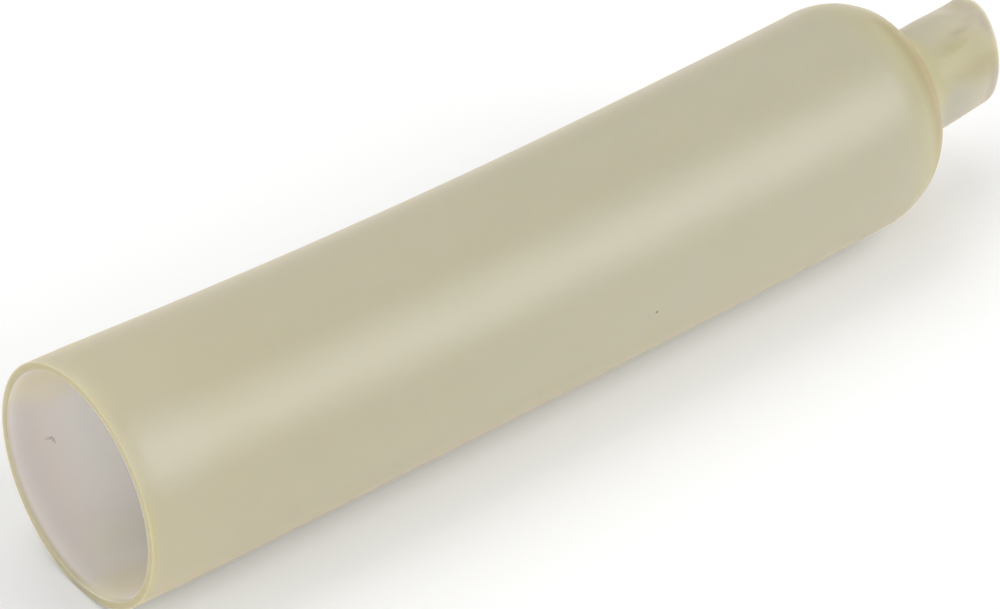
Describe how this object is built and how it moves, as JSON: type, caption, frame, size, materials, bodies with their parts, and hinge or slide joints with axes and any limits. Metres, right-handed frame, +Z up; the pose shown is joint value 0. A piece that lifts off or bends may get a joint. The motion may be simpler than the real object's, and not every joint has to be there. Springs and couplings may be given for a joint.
{
  "type": "heat shrink tube",
  "caption": "Translucent heat-shrink tube, unshrunk, with an open flared mouth, a long bowed barrel, a rounded shoulder and a short open neck",
  "frame": {"origin": "on the surface that the tube lies on, below the middle of its length and width", "axes": "+X along the tube, from the open mouth to the neck; +Z up from the surface"},
  "size_m": [0.1244, 0.0271, 0.027],
  "materials": {
    "sleeve": "milky amber, translucent, satin"
  },
  "bodies": {
    "root": {"heat_shrink_tube": "sleeve"}
  },
  "joints": []
}
